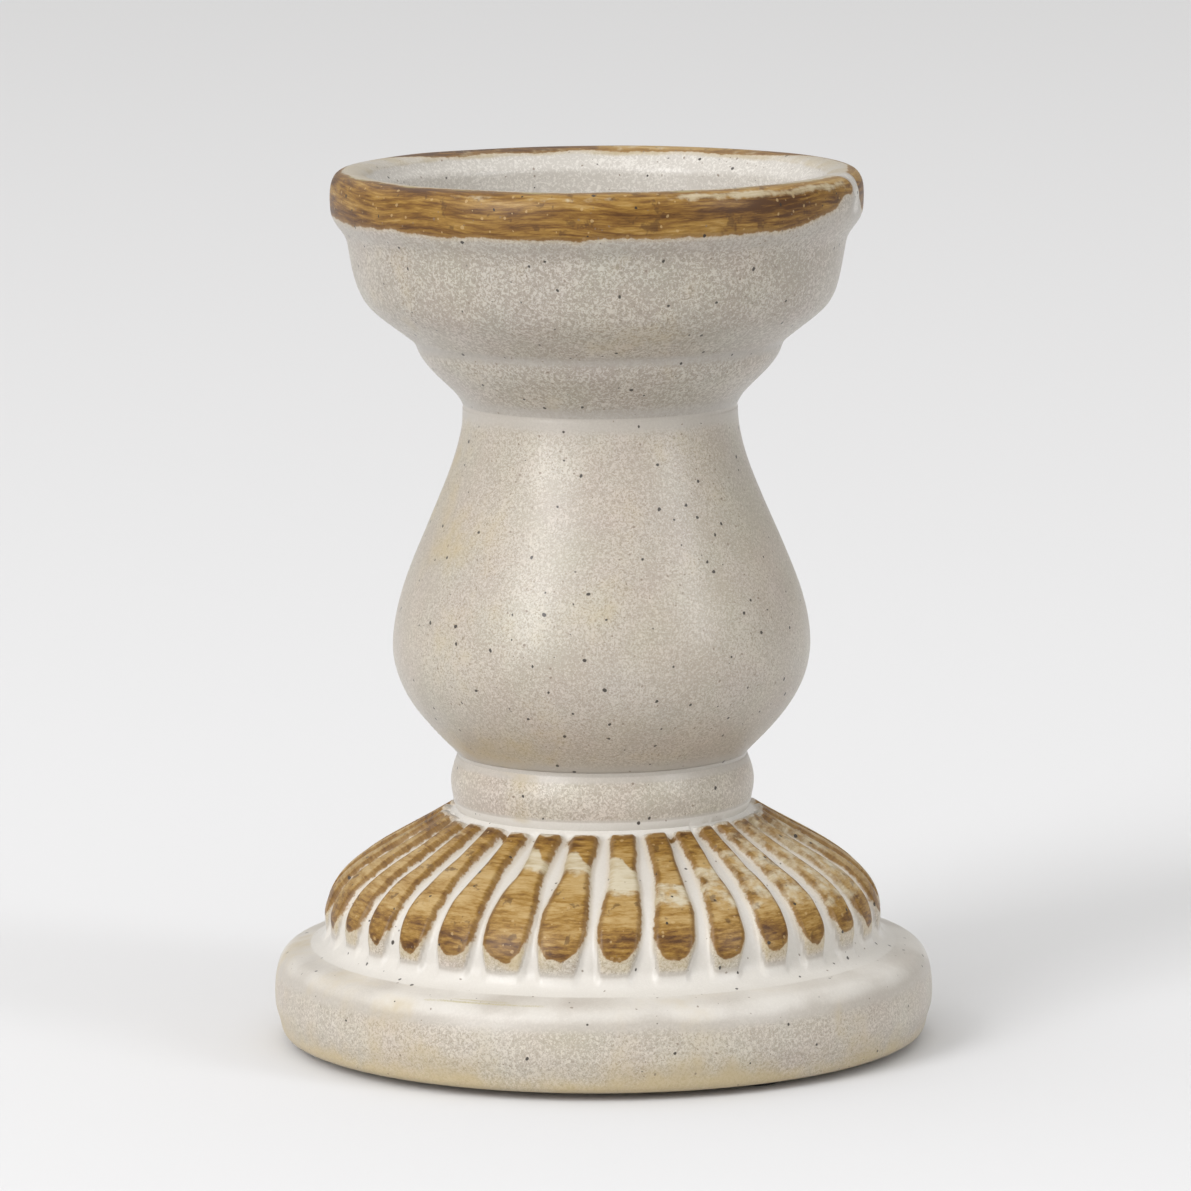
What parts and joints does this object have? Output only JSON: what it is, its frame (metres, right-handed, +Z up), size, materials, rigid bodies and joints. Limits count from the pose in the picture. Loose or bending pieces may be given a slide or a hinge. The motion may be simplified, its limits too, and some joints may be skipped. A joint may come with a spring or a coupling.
{
  "type": "candlestick",
  "caption": "Glazed stoneware candlestick: open rimmed cup on a hollow baluster stem and a ribbed round base with rubber foot pads.",
  "frame": {"origin": "on the standing surface, on the turning axis of the candlestick", "axes": "+Z up along the turning axis towards the cup; -Y faces the viewer; +X to the viewer's right"},
  "size_m": [0.127, 0.127, 0.168],
  "materials": {
    "glazed_stoneware": "satin speckled reactive glaze, warm grey-beige with brushed ochre brown on the rim and ribs",
    "joining_slip": "matte pale slip under glaze",
    "pad_rubber": "matte dark rubber"
  },
  "bodies": {
    "root": {"candle_cup": "glazed_stoneware", "stem": "glazed_stoneware", "fluted_base": "glazed_stoneware", "upper_slip_ring": "joining_slip", "lower_slip_ring": "joining_slip", "foot_pad_1": "pad_rubber", "foot_pad_2": "pad_rubber", "foot_pad_3": "pad_rubber"}
  },
  "joints": []
}
